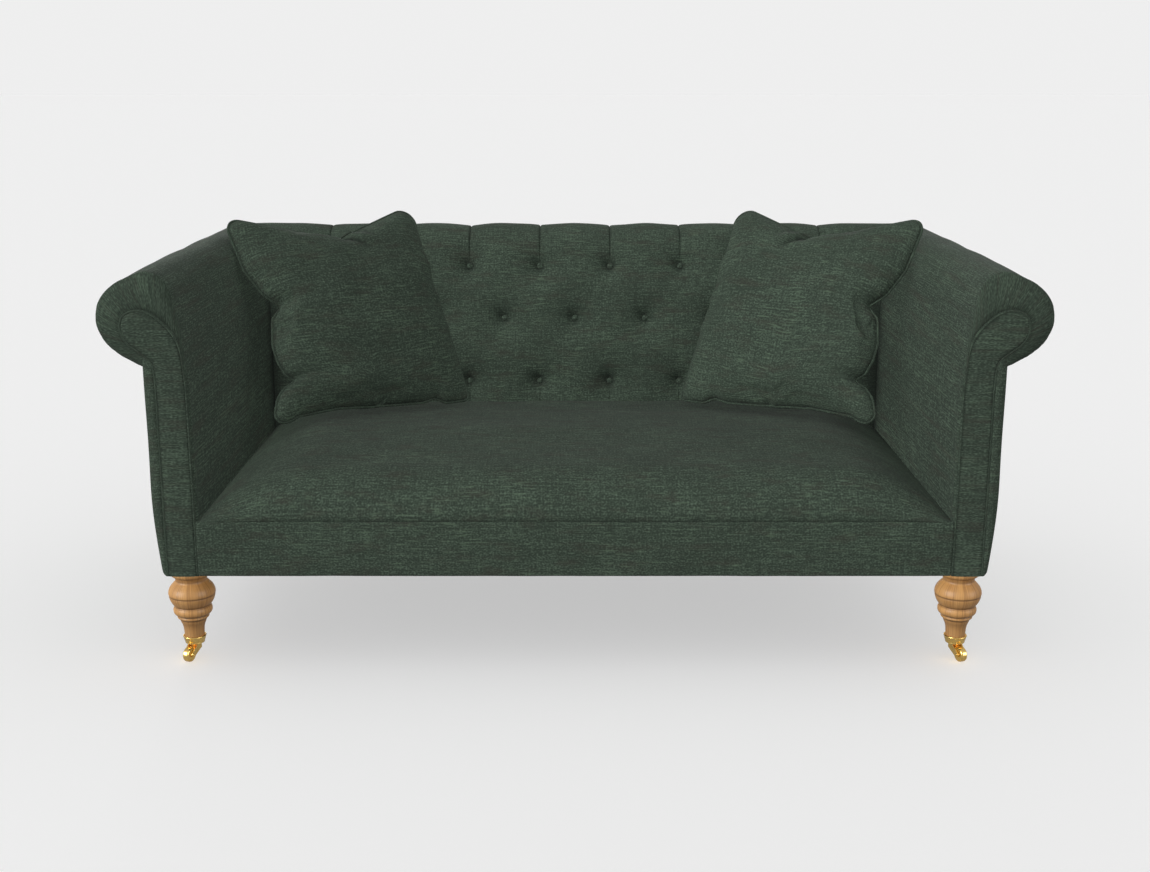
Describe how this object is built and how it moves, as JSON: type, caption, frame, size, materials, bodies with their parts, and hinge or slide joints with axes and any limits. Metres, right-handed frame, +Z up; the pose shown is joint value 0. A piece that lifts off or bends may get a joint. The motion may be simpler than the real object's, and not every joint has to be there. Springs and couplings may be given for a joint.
{
  "type": "two-seater sofa",
  "caption": "Low scroll-arm sofa with a buttoned rolled back, padded seat, loose scatter cushions, turned front legs on brass castors and raked back legs.",
  "frame": {"origin": "floor under the middle of the sofa: bottom centre of the box around it", "axes": "+X to the right as seen from the front, +Y from the front to the back, +Z up"},
  "size_m": [1.7, 0.96, 0.7543],
  "materials": {
    "green_linen": "slubbed woven linen, matt",
    "oak": "clear satin lacquer",
    "brass": "polished",
    "frame_timber": "sawn, unfinished",
    "liner_board": "raw board",
    "filling": "open soft foam or feather filling",
    "webbing": "woven strap",
    "lining_cloth": "thin non-woven cloth",
    "steel": "zinc plated",
    "glide_plastic": "moulded"
  },
  "bodies": {
    "sofa": {"arm_stumps": "frame_timber", "back_buttons": "green_linen", "back_cover": "green_linen", "back_foam": "filling", "back_left_glide": "glide_plastic", "back_left_leg": "oak", "back_lower_rail": "frame_timber", "back_right_glide": "glide_plastic", "back_right_leg": "oak", "back_seat_rail": "frame_timber", "back_top_rail": "frame_timber", "back_uprights": "frame_timber", "back_webbing": "webbing", "bottom_cloth": "lining_cloth", "front_border": "green_linen", "front_left_leg": "oak", "front_right_leg": "oak", "front_seat_rail": "frame_timber", "left_arm_cover": "green_linen", "left_arm_facing": "green_linen", "left_arm_foam": "filling", "left_arm_front_board": "frame_timber", "left_arm_liner": "liner_board", "left_arm_tack_rail": "frame_timber", "left_arm_top_rail": "frame_timber", "left_back_post": "frame_timber", "left_castor_cup": "brass", "left_castor_pivot": "brass", "left_outside_arm": "green_linen", "left_side_rail": "frame_timber", "leg_blocks": "frame_timber", "leg_bolts": "steel", "outside_back": "green_linen", "right_arm_cover": "green_linen", "right_arm_facing": "green_linen", "right_arm_foam": "filling", "right_arm_front_board": "frame_timber", "right_arm_liner": "liner_board", "right_arm_tack_rail": "frame_timber", "right_arm_top_rail": "frame_timber", "right_back_post": "frame_timber", "right_castor_cup": "brass", "right_castor_pivot": "brass", "right_outside_arm": "green_linen", "right_side_rail": "frame_timber", "seat_cover": "green_linen", "seat_cross_rail": "frame_timber", "seat_foam": "filling", "seat_webbing": "webbing"},
    "left_castor": {"left_castor_fork": "brass", "left_castor_axle": "brass"},
    "left_wheel": {"left_castor_wheel": "brass"},
    "right_castor": {"right_castor_fork": "brass", "right_castor_axle": "brass"},
    "right_wheel": {"right_castor_wheel": "brass"},
    "left_cushion": {"left_cushion_cover": "green_linen", "left_cushion_filling": "filling"},
    "right_cushion": {"right_cushion_cover": "green_linen", "right_cushion_filling": "filling"}
  },
  "joints": [
    {"name": "left_castor_swivel", "type": "hinge", "parent": "sofa", "child": "left_castor", "pos_m": [-0.721, -0.422, 0.0262], "axis": [0, 0, 1], "continuous": true},
    {"name": "left_wheel_spin", "type": "hinge", "parent": "left_castor", "child": "left_wheel", "pos_m": [-0.72818, -0.44173, 0.014], "axis": [0.9397, -0.342, 0], "continuous": true},
    {"name": "left_cushion_lift", "type": "slide", "parent": "sofa", "child": "left_cushion", "axis": [0, 0, 1], "range_m": [0, 0.4]},
    {"name": "right_castor_swivel", "type": "hinge", "parent": "sofa", "child": "right_castor", "pos_m": [0.721, -0.422, 0.0262], "axis": [0, 0, 1], "continuous": true},
    {"name": "right_wheel_spin", "type": "hinge", "parent": "right_castor", "child": "right_wheel", "pos_m": [0.72818, -0.44173, 0.014], "axis": [0.9397, 0.342, 0], "continuous": true},
    {"name": "right_cushion_lift", "type": "slide", "parent": "sofa", "child": "right_cushion", "axis": [0, 0, 1], "range_m": [0, 0.4]}
  ]
}
